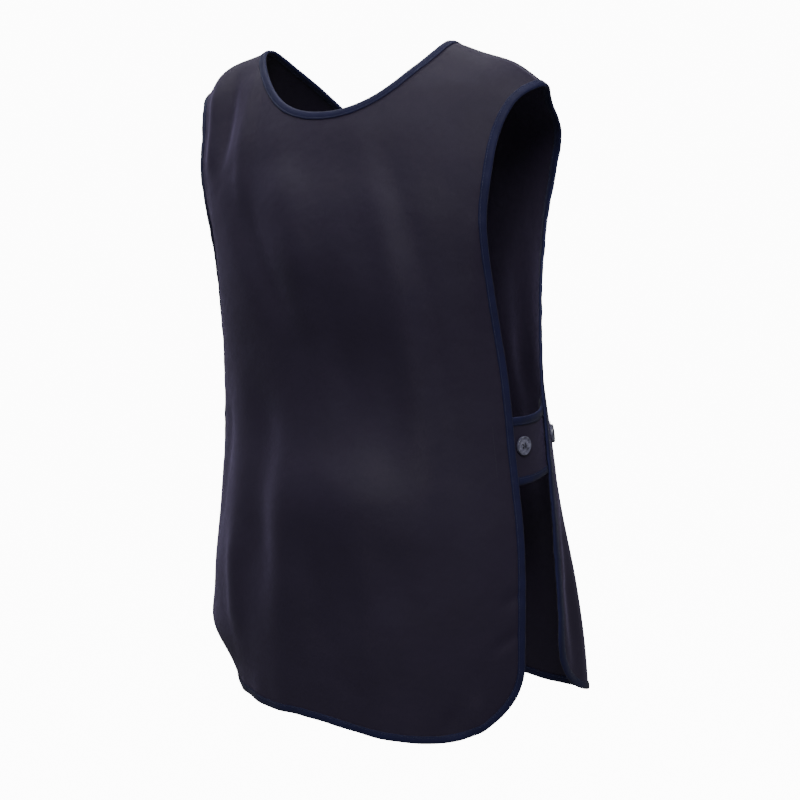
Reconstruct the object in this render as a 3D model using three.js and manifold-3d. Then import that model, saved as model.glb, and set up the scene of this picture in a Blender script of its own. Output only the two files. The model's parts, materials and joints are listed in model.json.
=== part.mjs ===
// A cobbler apron, also called a tabard: a back and a front panel of cloth joined by two shoulder seams,
// open at the sides, and held together at the waist by a buttoned tab on each side.
// It has the form that it takes when it is worn. Millimetres, +Z up. The wearer faces -Y, so +X is the
// wearer's left. The origin lies midway between the two neck points, where neckline and shoulder seam meet.

import * as THREE from "three";
import Module from "manifold-3d";
import { mergeVertices } from "three/addons/utils/BufferGeometryUtils.js";

const wasm = await Module();
wasm.setup();

// Driving sizes of the whole apron
const apronLength = 725; // along the cloth, from a neck point to the hem
const hipHalfWidth = 215; // half of the straight width across the hips
const bodyDepth = 125; // from the line through the neck points to the fullest part of the back

// Neck opening
const neckHalfWidth = 116;
const backNeckDrop = 88; // down the cloth, from the neck points
const frontNeckDrop = 135;
const neckTaper = 0.1; // how much slimmer than an ellipse the neckline is between its middle and its ends

// Rounded lower corners of both panels
const cornerWidth = 95;
const cornerHeight = 85;

// Cloth, and the folded tape that binds its edges
const clothThickness = 1.2;
const bindingThickness = 0.8;
const bindingWidth = 7;
const sewnGap = 0.3; // air left between two pieces that are sewn or buttoned together

// Side tabs
const tabHeight = 70;
const tabDrop = 408; // from the neck points down the cloth to the middle of the tab
const tabUnderBack = 24; // length of tab that lies under the back panel
const tabSeamWidth = 8; // the part of it that is sewn flat to the panel
const tabUnderFront = 42; // and under the front panel
const tabCornerRadius = 14;

// Buttons
const buttonRadius = 9.5;
const buttonThickness = 2.8;
const buttonDish = 0.7; // depth of the hollow inside the rim
const buttonRimWidth = 1.8;
const buttonHoleRadius = 1;
const buttonHoleSpacing = 3.4; // between the centres of neighbouring holes
const spareButtonOffset = 13; // from the back panel's edge forward to the middle of the spare button
const spareButtonRise = 5; // above the middle of the tab
const frontButtonOffset = 20; // from the front panel's edge to the middle of the fastening button

// Steps along the edges, which set how fine the facets are
const sideSteps = 24;
const sideCrowding = 0.45; // how much closer a side's steps lie near the shoulder, 0 for even steps
const cornerSteps = 7;
const hemSteps = 12;
const seamSteps = 5;
const neckSteps = 16;
const tabSideSteps = 9;
const tabCornerSteps = 2;
const tabEndSteps = 2;
const buttonSides = 16;
const holeSides = 6;

// A table's rows as objects, with the names of its columns
function named(columns, rows) {
  return rows.map((row) => Object.fromEntries(row.map((value, i) => [columns[i], value])));
}

// Sections across the worn apron, a row for each, from the front hem over the shoulders to the back hem
// along: share of the apron's length, below zero on the front and above zero on the back
// middleDrop, edgeDrop: height below the neck points in the middle and at the edges, shares of the length
// halfWidth: share of the hip half width
// middleDepth, edgeDepth: distance behind the neck points, shares of the body depth
// sweep: how many degrees of an ellipse the section takes on each side of its middle
const sections = named(
  ["along", "middleDrop", "edgeDrop", "halfWidth", "middleDepth", "edgeDepth", "sweep"],
  [
    [-1.0, 0.93, 0.938, 0.97, -1.3, -0.46, 84],
    [-0.85, 0.793, 0.802, 0.96, -1.26, -0.46, 83],
    [-0.7, 0.652, 0.668, 0.93, -1.2, -0.46, 82],
    [-0.58, 0.535, 0.557, 0.895, -1.14, -0.46, 80],
    [-0.45, 0.408, 0.436, 0.85, -1.1, -0.47, 74],
    [-0.33, 0.29, 0.323, 0.82, -1.05, -0.54, 68],
    [-0.24, 0.2, 0.235, 0.82, -0.94, -0.61, 60],
    [-0.17, 0.128, 0.17, 0.86, -0.8, -0.62, 54],
    [-0.11, 0.065, 0.118, 0.915, -0.58, -0.53, 48],
    [-0.055, 0.008, 0.08, 0.955, -0.28, -0.26, 44],
    [0.0, -0.034, 0.062, 1.0, 0.08, -0.04, 42],
    [0.055, 0.014, 0.08, 0.932, 0.31, 0.16, 45],
    [0.11, 0.08, 0.122, 0.885, 0.5, 0.27, 50],
    [0.17, 0.142, 0.175, 0.865, 0.65, 0.33, 56],
    [0.24, 0.212, 0.24, 0.84, 0.76, 0.32, 61],
    [0.33, 0.3, 0.325, 0.84, 0.82, 0.21, 61],
    [0.45, 0.417, 0.44, 0.868, 0.78, 0.08, 59],
    [0.58, 0.545, 0.562, 0.9, 0.74, 0.02, 54],
    [0.7, 0.66, 0.675, 0.94, 0.84, 0.0, 54],
    [0.85, 0.8, 0.81, 0.955, 0.92, 0.01, 56],
    [1.0, 0.94, 0.947, 0.955, 0.95, 0.0, 55],
  ],
);

// How the height falls from the middle of a section to its edges
const slopePower = 1.5;

// Main folds and swellings of the cloth, a row for each
// across: place between the edges, from -1 on the wearer's right to 1 on the left; along: as above
// width, length: how far it spreads across and along, in the same shares
// height: how far it stands out, a share of the body depth, below zero for a hollow
// lift: how far it pulls the cloth up, a share of the apron's length
const folds = named(
  ["name", "across", "along", "width", "length", "height", "lift"],
  [
    ["left shoulder", 0.76, 0.03, 0.16, 0.06, 0.07, 0],
    ["right shoulder", -0.82, 0.0, 0.14, 0.05, 0.04, 0],
    ["left seat", 0.26, 0.66, 0.28, 0.1, 0.06, 0],
    ["right seat", -0.3, 0.68, 0.28, 0.1, 0.06, 0],
    ["back hem, hollow", 0.6, 1.02, 0.42, 0.14, -0.1, 0.03],
    ["back corner, turned in", 0.96, 1.02, 0.24, 0.07, -0.28, 0],
    ["right front flare", -0.72, -1.02, 0.2, 0.34, 0.26, 0],
    ["left front flare", 0.72, -1.02, 0.2, 0.34, 0.26, 0],
  ],
);

const nudge = 1e-4; // step for slopes that are measured on a surface

const mix = (a, b, share) => a + (b - a) * share;

// One column of the section table at any place along the cloth, on a smooth curve through its rows
function column(key, along) {
  const last = sections.length - 1;
  let row = 0;
  while (row < last - 1 && along > sections[row + 1].along) {
    row += 1;
  }
  const slope = (i) => {
    const before = sections[Math.max(i - 1, 0)];
    const after = sections[Math.min(i + 1, last)];
    return (after[key] - before[key]) / (after.along - before.along);
  };
  const span = sections[row + 1].along - sections[row].along;
  const x = (along - sections[row].along) / span;
  const start = (2 * x ** 3 - 3 * x ** 2 + 1) * sections[row][key]
    + (x ** 3 - 2 * x ** 2 + x) * span * slope(row);
  const end = (3 * x ** 2 - 2 * x ** 3) * sections[row + 1][key] + (x ** 3 - x ** 2) * span * slope(row + 1);
  return start + end;
}

// The smooth body-hugging surface before its folds, at a place across and along the cloth
function draped(across, along) {
  const sweep = THREE.MathUtils.degToRad(column("sweep", along));
  const turn = sweep * across;
  const middle = (Math.cos(turn) - Math.cos(sweep)) / (1 - Math.cos(sweep));
  const fall = Math.abs(across) ** slopePower;
  return new THREE.Vector3(
    (hipHalfWidth * column("halfWidth", along) * Math.sin(turn)) / Math.sin(sweep),
    bodyDepth * mix(column("edgeDepth", along), column("middleDepth", along), middle),
    -apronLength * mix(column("middleDrop", along), column("edgeDrop", along), fall),
  );
}

// Slopes of a surface across and along
function slopes(surface, across, along) {
  const step = (da, dl) => surface(across + da, along + dl).sub(surface(across - da, along - dl));
  return {
    across: step(nudge, 0).divideScalar(2 * nudge),
    along: step(0, nudge).divideScalar(2 * nudge),
  };
}

// The direction in which a surface faces
function facing(surface, across, along) {
  const slope = slopes(surface, across, along);
  return slope.across.cross(slope.along).normalize();
}

// A smooth surface with the folds added, which move its points out along its facing and up
function folded(surface, place, across, along) {
  const point = surface(across, along);
  const out = facing(surface, across, along);
  const [wearerAcross, wearerAlong] = place;
  for (const fold of folds) {
    const aside = (wearerAcross - fold.across) / fold.width;
    const away = (wearerAlong - fold.along) / fold.length;
    const strength = Math.exp(-aside * aside - away * away);
    point.addScaledVector(out, bodyDepth * fold.height * strength);
    point.z += apronLength * fold.lift * strength;
  }
  return point;
}

// The middle surface of the back panel, from the wearer's right to left and from the seam to the hem
function backSurface(across, along) {
  return folded(draped, [across, along], across, along);
}

// The front panel in the same way, from the wearer's left to right, so that it too faces out
function frontSurface(across, along) {
  return folded((a, l) => draped(-a, -l), [-across, -along], across, along);
}

// A place on the middle surface of a sheet: its point, and the direction that it faces
function spot(surface, place) {
  return {
    at: surface(place[0], place[1]),
    normal: facing(surface, place[0], place[1]),
  };
}

// The place that lies a given distance inside an edge curve; the sheet is on the right of the curve's path
function inside(surface, curve, x, distance) {
  const ahead = curve(x + nudge);
  const behind = curve(x - nudge);
  const place = curve(x);
  const slope = slopes(surface, place[0], place[1]);
  const acrossScale = slope.across.length();
  const alongScale = slope.along.length();
  const path = new THREE.Vector2((ahead[0] - behind[0]) * acrossScale, (ahead[1] - behind[1]) * alongScale);
  path.normalize();
  return [place[0] + (path.y * distance) / acrossScale, place[1] - (path.x * distance) / alongScale];
}

// Where the edge rows of a sheet lie: on the edge itself, and inside the binding tape
const insetDistance = bindingWidth + 1;

function edgeRow(surface, curve, steps) {
  return Array.from({ length: steps + 1 }, (_, i) => {
    const x = i / steps;
    return {
      edge: curve(x),
      inset: inside(surface, curve, x, insetDistance),
    };
  });
}

// The free edge of a sheet: down one side, round a corner, along the end, round a corner and up
function freeEdge(surface, corner, steps, start) {
  const sideEnd = 1 - corner.along;
  const side = (x) => mix(start, sideEnd, mix(x, x * x, steps.crowding));
  const arc = (x) => {
    const angle = (x * Math.PI) / 2;
    return [1 - corner.across * (1 - Math.cos(angle)), sideEnd + corner.along * Math.sin(angle)];
  };
  const endHalf = 1 - corner.across;
  const curves = [
    { curve: (x) => [-1, side(x)], steps: steps.side },
    { curve: (x) => [-arc(x)[0], arc(x)[1]], steps: steps.corner },
    { curve: (x) => [mix(-endHalf, endHalf, x), 1], steps: steps.end },
    { curve: (x) => arc(1 - x), steps: steps.corner },
    { curve: (x) => [1, side(1 - x)], steps: steps.side },
  ];
  const rows = [];
  for (const part of curves) {
    const row = edgeRow(surface, part.curve, part.steps);
    rows.push(...(rows.length ? row.slice(1) : row));
  }
  return rows;
}

// A grid of places that fills the four curves round it
function fill(top, bottom, left, right) {
  const columns = top.length - 1;
  const rows = left.length - 1;
  const grid = [];
  for (let i = 0; i <= rows; i += 1) {
    const down = i / rows;
    const line = [];
    for (let j = 0; j <= columns; j += 1) {
      const over = j / columns;
      line.push([0, 1].map((axis) => {
        const ruled = mix(top[j][axis], bottom[j][axis], down) + mix(left[i][axis], right[i][axis], over);
        const corners = mix(
          mix(top[0][axis], top[columns][axis], over),
          mix(bottom[0][axis], bottom[columns][axis], over),
          down,
        );
        return ruled - corners;
      }));
    }
    grid.push(line);
  }
  return grid;
}

// A closed wall of even thickness round a triangulated middle surface
function wall(spots, triangles, thickness) {
  const count = spots.length;
  const positions = [];
  for (const side of [0.5, -0.5]) {
    for (const { at, normal } of spots) {
      positions.push(at.clone().addScaledVector(normal, side * thickness));
    }
  }
  const used = new Set();
  for (const [a, b, c] of triangles) {
    used.add(`${a} ${b}`).add(`${b} ${c}`).add(`${c} ${a}`);
  }
  const faces = [];
  for (const [a, b, c] of triangles) {
    faces.push([a, b, c], [c + count, b + count, a + count]);
    for (const [p, q] of [[a, b], [b, c], [c, a]]) {
      if (!used.has(`${q} ${p}`)) {
        faces.push([q, p, p + count], [q, p + count, q + count]);
      }
    }
  }
  return solidGeometry(positions, faces);
}

// Geometry from corner points and faces
function solidGeometry(positions, faces) {
  const geometry = new THREE.BufferGeometry();
  const flat = positions.flatMap((p) => [p.x, p.y, p.z]);
  geometry.setAttribute("position", new THREE.Float32BufferAttribute(flat, 3));
  geometry.setIndex(faces.flat());
  return geometry;
}

// A sheet of cloth from its grid of inner places and the edge rows that its bindings cover
function sheetGeometry(surface, grid, rings) {
  const spots = [];
  const known = new Map();
  const index = (place) => {
    const key = place.map((value) => value.toFixed(7)).join(" ");
    if (!known.has(key)) {
      known.set(key, spots.length);
      spots.push(spot(surface, place));
    }
    return known.get(key);
  };
  const triangles = [];
  for (let i = 0; i + 1 < grid.length; i += 1) {
    for (let j = 0; j + 1 < grid[i].length; j += 1) {
      const [a, b] = [index(grid[i][j]), index(grid[i][j + 1])];
      const [c, d] = [index(grid[i + 1][j]), index(grid[i + 1][j + 1])];
      const falling = spots[a].at.distanceTo(spots[d].at);
      const rising = spots[b].at.distanceTo(spots[c].at);
      if (falling < rising) {
        triangles.push([a, b, d], [a, d, c]);
      } else {
        triangles.push([a, b, c], [b, d, c]);
      }
    }
  }
  for (const ring of rings) {
    for (let k = 0; k + 1 < ring.length; k += 1) {
      const [e, f] = [index(ring[k].edge), index(ring[k + 1].edge)];
      const [g, h] = [index(ring[k].inset), index(ring[k + 1].inset)];
      triangles.push([e, g, h], [e, h, f]);
    }
  }
  return wall(spots, triangles, clothThickness);
}

// The U-shaped section of the binding tape where it folds over the edge of a sheet
function bindingSection(surface, pair) {
  const edge = spot(surface, pair.edge);
  const inset = spot(surface, pair.inset);
  const inward = inset.at.clone().sub(edge.at);
  const share = bindingWidth / inward.length();
  const hem = {
    at: edge.at.clone().addScaledVector(inward, share),
    normal: edge.normal.clone().lerp(inset.normal, share),
  };
  inward.normalize();
  const slot = clothThickness / 2 + sewnGap;
  const outer = slot + bindingThickness;
  const fold = edge.at.clone().addScaledVector(inward, -sewnGap);
  const nose = edge.at.clone().addScaledVector(inward, -sewnGap - bindingThickness);
  const point = (at, normal, height) => at.clone().addScaledVector(normal, height);
  return [
    point(fold, edge.normal, slot),
    point(fold, edge.normal, -slot),
    point(hem.at, hem.normal, -slot),
    point(hem.at, hem.normal, -outer),
    point(nose, edge.normal, -outer),
    point(nose, edge.normal, outer),
    point(hem.at, hem.normal, outer),
    point(hem.at, hem.normal, slot),
  ];
}

// A solid through a row of sections, closed on itself or capped at both ends
function loft(rows, closed) {
  const size = rows[0].length;
  const faces = [];
  const steps = closed ? rows.length : rows.length - 1;
  for (let k = 0; k < steps; k += 1) {
    const near = k * size;
    const far = ((k + 1) % rows.length) * size;
    for (let i = 0; i < size; i += 1) {
      const next = (i + 1) % size;
      if (next) {
        faces.push([near + i, near + next, far + next], [near + i, far + next, far + i]);
      } else {
        // This side faces the cloth, so its facets are split as the cloth's own are
        faces.push([near + i, near + next, far + i], [near + next, far + next, far + i]);
      }
    }
  }
  if (!closed) {
    const end = (rows.length - 1) * size;
    for (const [a, b, c] of [[0, 4, 5], [0, 1, 4], [1, 3, 4], [1, 2, 3], [0, 5, 6], [0, 6, 7]]) {
      faces.push([c, b, a], [end + a, end + b, end + c]);
    }
  }
  return solidGeometry(rows.flat(), faces);
}

// Both panels
const seamStart = sewnGap / 2 / apronLength;

function panel(surface, neckDrop) {
  const sweep = THREE.MathUtils.degToRad(column("sweep", 0));
  const shoulder = hipHalfWidth * column("halfWidth", 0);
  const neck = Math.asin((neckHalfWidth * Math.sin(sweep)) / shoulder) / sweep;
  const hemSlope = slopes(surface, 1, 1);
  const corner = {
    across: cornerWidth / hemSlope.across.length(),
    along: cornerHeight / apronLength,
  };
  const steps = { side: sideSteps, corner: cornerSteps, end: hemSteps, crowding: sideCrowding };
  const outer = freeEdge(surface, corner, steps, seamStart);
  const neckline = edgeRow(surface, (x) => {
    const angle = (0.5 - x) * Math.PI;
    const depth = Math.cos(angle) * (1 - neckTaper * Math.sin(angle) ** 2);
    return [neck * Math.sin(angle), seamStart + (neckDrop / apronLength) * depth];
  }, neckSteps);
  const insets = outer.map((pair) => pair.inset);
  const left = insets.slice(0, sideSteps + 1);
  const bottom = insets.slice(sideSteps, insets.length - sideSteps);
  const right = insets.slice(insets.length - sideSteps - 1).reverse();
  const neckInsets = neckline.map((pair) => pair.inset).reverse();
  const seam = (from, to) => Array.from({ length: seamSteps }, (_, i) => [0, 1].map(
    (axis) => mix(from[axis], to[axis], i / seamSteps),
  ));
  const rightSeam = seam(left[0], neckInsets[0]);
  const leftSeam = seam(right[0], neckInsets[neckSteps]).reverse();
  const top = [...rightSeam, ...neckInsets, ...leftSeam];
  return {
    geometry: sheetGeometry(surface, fill(top, bottom, left, right), [outer, neckline]),
    outer: outer.map((pair) => bindingSection(surface, pair)),
    neckline: neckline.map((pair) => bindingSection(surface, pair)),
  };
}

// A side tab, which runs from under the back panel to under the front panel
// side: -1 on the wearer's right, 1 on the left
const tabDepth = clothThickness + 2 * bindingThickness + 3 * sewnGap; // from panel middle to tab middle

function tabSurface(side) {
  const drop = (across) => (tabDrop - (side * across * tabHeight) / 2) / apronLength;
  const edgeScale = (surface, across, along) => slopes(surface, across, along).across.length();
  const under = (surface, edge, along, distance) => {
    const across = edge * (1 - distance / edgeScale(surface, edge, along));
    return surface(across, along).addScaledVector(facing(surface, across, along), -tabDepth);
  };
  const back = (across, distance) => under(backSurface, side, drop(across), distance);
  const front = (across, distance) => under(frontSurface, -side, drop(across), distance);
  const seamEnd = tabUnderBack - tabSeamWidth;
  const gap = back(0, seamEnd).distanceTo(front(0, 0));
  const length = tabSeamWidth + gap + tabUnderFront;
  const surface = (across, along) => {
    const run = along * length - tabSeamWidth;
    if (run <= 0) {
      return back(across, seamEnd - run);
    }
    if (run >= gap) {
      return front(across, run - gap);
    }
    const start = back(across, seamEnd);
    const end = front(across, 0);
    const leave = start.clone().sub(back(across, seamEnd + 1)).multiplyScalar(gap);
    const arrive = front(across, 1).sub(end).multiplyScalar(gap);
    const x = run / gap;
    return start.multiplyScalar(2 * x ** 3 - 3 * x ** 2 + 1)
      .addScaledVector(leave, x ** 3 - 2 * x ** 2 + x)
      .addScaledVector(end, 3 * x ** 2 - 2 * x ** 3)
      .addScaledVector(arrive, x ** 3 - x ** 2);
  };
  return { surface, length };
}

function tab(side) {
  const { surface, length } = tabSurface(side);
  const corner = {
    across: (2 * tabCornerRadius) / tabHeight,
    along: tabCornerRadius / length,
  };
  const steps = { side: tabSideSteps, corner: tabCornerSteps, end: tabEndSteps, crowding: 0 };
  const outer = freeEdge(surface, corner, steps, 0);
  const insets = outer.map((pair) => pair.inset);
  const left = insets.slice(0, tabSideSteps + 1);
  const bottom = insets.slice(tabSideSteps, insets.length - tabSideSteps);
  const right = insets.slice(insets.length - tabSideSteps - 1).reverse();
  const top = bottom.map((_, i) => [0, 1].map(
    (axis) => mix(left[0][axis], right[0][axis], i / (bottom.length - 1)),
  ));
  return {
    geometry: sheetGeometry(surface, fill(top, bottom, left, right), [outer]),
    binding: loft(outer.map((pair) => bindingSection(surface, pair)), false),
  };
}

// A closed mesh as a solid that can be cut
function solid(geometry) {
  const bare = geometry.clone();
  bare.deleteAttribute("normal");
  bare.deleteAttribute("uv");
  const merged = mergeVertices(bare, nudge);
  return new wasm.Manifold(new wasm.Mesh({
    numProp: 3,
    vertProperties: new Float32Array(merged.attributes.position.array),
    triVerts: new Uint32Array(merged.index.array),
  }));
}

// A four-hole button with a raised rim, lying on z = 0 round its own axis
function buttonGeometry() {
  const profile = [
    [0, 0],
    [buttonRadius - buttonRimWidth, 0],
    [buttonRadius, buttonThickness / 2],
    [buttonRadius - buttonRimWidth / 2, buttonThickness],
    [buttonRadius - buttonRimWidth, buttonThickness - buttonDish],
    [0, buttonThickness - buttonDish],
  ];
  const disc = new THREE.LatheGeometry(profile.map(([r, z]) => new THREE.Vector2(r, z)), buttonSides);
  disc.rotateX(Math.PI / 2);
  let body = solid(disc);
  for (const quarter of [0, 1, 2, 3]) {
    const angle = ((quarter + 0.5) * Math.PI) / 2;
    const reach = buttonHoleSpacing / Math.SQRT2;
    const depth = 3 * buttonThickness;
    const hole = new THREE.CylinderGeometry(buttonHoleRadius, buttonHoleRadius, depth, holeSides);
    hole.rotateX(Math.PI / 2);
    hole.translate(reach * Math.cos(angle), reach * Math.sin(angle), 0);
    body = body.subtract(solid(hole));
  }
  const mesh = body.getMesh();
  const geometry = new THREE.BufferGeometry();
  geometry.setAttribute("position", new THREE.Float32BufferAttribute(mesh.vertProperties, 3));
  geometry.setIndex(Array.from(mesh.triVerts));
  return geometry;
}

// Materials
const clothMaterial = new THREE.MeshStandardMaterial({ color: 0x1d1b29, roughness: 0.75, metalness: 0 });
const bindingMaterial = new THREE.MeshStandardMaterial({ color: 0x22305c, roughness: 0.6, metalness: 0 });
const buttonMaterial = new THREE.MeshStandardMaterial({ color: 0x7a8090, roughness: 0.3, metalness: 0 });

// The apron
const apron = new THREE.Group();

function add(name, geometry, material) {
  const mesh = new THREE.Mesh(geometry, material);
  mesh.name = name;
  apron.add(mesh);
  return mesh;
}

const back = panel(backSurface, backNeckDrop);
const front = panel(frontSurface, frontNeckDrop);
add("back_panel", back.geometry, clothMaterial);
add("front_panel", front.geometry, clothMaterial);
add("neck_binding", loft([...back.neckline, ...front.neckline], true), bindingMaterial);
add("edge_binding", loft([...back.outer, ...front.outer], true), bindingMaterial);

// A button seated on a sheet's outer face
function addButton(name, surface, place) {
  const button = add(name, buttonGeometry(), buttonMaterial);
  const seat = spot(surface, place);
  button.position.copy(seat.at).addScaledVector(seat.normal, clothThickness / 2 + sewnGap);
  button.quaternion.setFromUnitVectors(new THREE.Vector3(0, 0, 1), seat.normal);
}

for (const [name, side] of [["right", -1], ["left", 1]]) {
  const piece = tab(side);
  add(`${name}_tab`, piece.geometry, clothMaterial);
  add(`${name}_tab_binding`, piece.binding, bindingMaterial);
  const { surface, length } = tabSurface(side);
  const rise = (side * 2 * spareButtonRise) / tabHeight;
  addButton(`${name}_spare_button`, surface, [rise, (tabUnderBack + spareButtonOffset) / length]);
  const frontEdge = -side;
  const frontScale = slopes(frontSurface, frontEdge, tabDrop / apronLength).across.length();
  const frontPlace = [frontEdge * (1 - frontButtonOffset / frontScale), tabDrop / apronLength];
  addButton(`${name}_fastening_button`, frontSurface, frontPlace);
}

export default apron;
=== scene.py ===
# %% [markdown]
# # A cobbler apron, dressed in cloth
# The real thing is a working tabard: a back and a front panel of dark twill, sewn together at the shoulders,
# bound with blue tape along every cut edge and held at the waist by a buttoned tab on each side. They fix
# the place and the size of everything, and each soft solid is then replaced by finer cloth in the same
# place.

# %% Load the frame
import json
import math

import bpy
import numpy as np
from mathutils import Matrix, Vector

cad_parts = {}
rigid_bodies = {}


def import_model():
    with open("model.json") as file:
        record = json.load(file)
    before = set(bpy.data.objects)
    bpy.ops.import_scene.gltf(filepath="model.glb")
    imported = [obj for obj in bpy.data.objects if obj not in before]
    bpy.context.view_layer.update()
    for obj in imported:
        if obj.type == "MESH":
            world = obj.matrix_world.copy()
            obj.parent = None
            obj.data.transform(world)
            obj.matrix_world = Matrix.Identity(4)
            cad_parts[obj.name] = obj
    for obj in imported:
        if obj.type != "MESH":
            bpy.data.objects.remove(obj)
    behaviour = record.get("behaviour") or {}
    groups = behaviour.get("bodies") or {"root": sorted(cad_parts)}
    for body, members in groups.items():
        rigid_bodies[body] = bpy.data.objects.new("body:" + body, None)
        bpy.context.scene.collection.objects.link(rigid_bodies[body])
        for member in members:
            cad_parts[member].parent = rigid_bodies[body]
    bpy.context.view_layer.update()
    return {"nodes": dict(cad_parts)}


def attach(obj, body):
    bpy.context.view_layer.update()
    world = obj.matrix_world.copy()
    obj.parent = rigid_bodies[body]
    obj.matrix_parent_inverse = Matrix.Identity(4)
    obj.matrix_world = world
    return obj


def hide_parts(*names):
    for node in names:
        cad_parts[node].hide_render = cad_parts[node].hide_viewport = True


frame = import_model()
print("solids:", sorted(frame["nodes"]))

# %% [markdown]
# ## Camera, floor and light
# The camera stands behind the wearer's right shoulder, a little above the middle of the apron, as for the
# photograph. The apron is shown as it is worn, so it hangs well above a plain pale floor, inside a white dome.
# Floor and dome glow, but only the camera sees that glow. Three large soft panels light the cloth, because
# cloth this dark shows its folds only in broad, soft reflections: one is high on the wearer's left, the main
# one stands behind the camera, and a weak one fills the front.


# %% Camera
def direction(azimuth, elevation):
    """From the middle towards a place round the wearer: azimuth 0 is in front and 180 behind, in degrees"""
    a, e = math.radians(azimuth), math.radians(elevation)
    return Vector((math.sin(a) * math.cos(e), -math.cos(a) * math.cos(e), math.sin(e)))


CAMERA_AZIMUTH, CAMERA_ELEVATION = 217, 9
CAMERA_TARGET = Vector((-0.032, -0.024, -0.362))
CAMERA_DISTANCE = 1.568
CAMERA_ANGLE = math.radians(30)

toward_camera = direction(CAMERA_AZIMUTH, CAMERA_ELEVATION)
camera_data = bpy.data.cameras.new("camera")
camera_data.angle = CAMERA_ANGLE
camera = bpy.data.objects.new("camera", camera_data)
camera.location = CAMERA_TARGET + toward_camera * CAMERA_DISTANCE
camera.rotation_euler = toward_camera.to_track_quat("Z", "Y").to_euler()
bpy.context.collection.objects.link(camera)
bpy.context.scene.camera = camera
print("camera at", [round(v, 3) for v in camera.location])


# %% Selecting one object, and applying its modifiers
def deselect_all():
    for item in bpy.context.selected_objects:
        item.select_set(False)


def activate(item):
    deselect_all()
    item.select_set(True)
    bpy.context.view_layer.objects.active = item


def apply_all(item):
    activate(item)
    for modifier in list(item.modifiers):
        bpy.ops.object.modifier_apply(modifier=modifier.name)


# %% Floor and white dome
FLOOR_LEVEL = -1.45
FLOOR_SIZE = 30.0
DOME_RADIUS = 14.0

deselect_all()
bpy.ops.mesh.primitive_plane_add(size=FLOOR_SIZE, location=(0, 0, FLOOR_LEVEL))
floor = bpy.context.object
floor.name = "floor"
bpy.ops.object.transform_apply(location=True)
deselect_all()
bpy.ops.mesh.primitive_uv_sphere_add(segments=48, ring_count=24, radius=DOME_RADIUS)
backdrop = bpy.context.object
backdrop.name = "backdrop"
backdrop.visible_diffuse = backdrop.visible_glossy = backdrop.visible_shadow = False
floor.visible_diffuse = floor.visible_glossy = False
print("floor at", FLOOR_LEVEL, "m, dome", DOME_RADIUS, "m in radius")


# %% Lights
def soft_light(name, azimuth, elevation, distance, size, power):
    data = bpy.data.lights.new(name, "AREA")
    data.shape = "RECTANGLE"
    data.size, data.size_y = size
    data.energy = power
    lamp = bpy.data.objects.new(name, data)
    toward_lamp = direction(azimuth, elevation)
    lamp.location = CAMERA_TARGET + toward_lamp * distance
    lamp.rotation_euler = toward_lamp.to_track_quat("Z", "Y").to_euler()
    bpy.context.collection.objects.link(lamp)


soft_light("shoulder light", 95, 68, 2.2, (1.4, 1.0), 34)
soft_light("key light", 222, 42, 2.4, (1.1, 1.0), 42)
soft_light("front light", 20, 30, 2.8, (2.0, 1.6), 10)

WORLD_STRENGTH = 0.2
world = bpy.data.worlds.new("studio")
bpy.context.scene.world = world
world.use_nodes = True
world.node_tree.nodes["Background"].inputs["Color"].default_value = (1, 1, 1, 1)
world.node_tree.nodes["Background"].inputs["Strength"].default_value = WORLD_STRENGTH

# %% [markdown]
# ## The form of the worn apron
# Each panel is one sheet. A place on it is given by how far across it lies, from -1 at the wearer's right edge
# to 1 at the left edge, and how far along the cloth, 0 at the shoulder seam and 1 at a hem, below zero on the
# front. A table of sections says how each height of the cloth curves round the body, as in the part's source,
# with a smooth curve through its rows. Folds then move the cloth out along the direction that it faces.

# %% Sizes in metres
APRON_LENGTH = 0.725
HIP_HALF_WIDTH = 0.215
BODY_DEPTH = 0.125
NECK_HALF_WIDTH = 0.116
NECK_DROPS = {"back": 0.088, "front": 0.135}
NECK_TAPER = 0.1
CORNER_WIDTH = 0.095
CORNER_HEIGHT = 0.085
CLOTH = 0.0012
TAPE = 0.0008
SEWN_GAP = 0.0003
SLOPE_POWER = 1.5  # how the shoulder line drops from the middle to the edges
NUDGE = 1e-4  # the small step across or along from which a slope is taken
SEAM_START = SEWN_GAP / 2 / APRON_LENGTH

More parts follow.
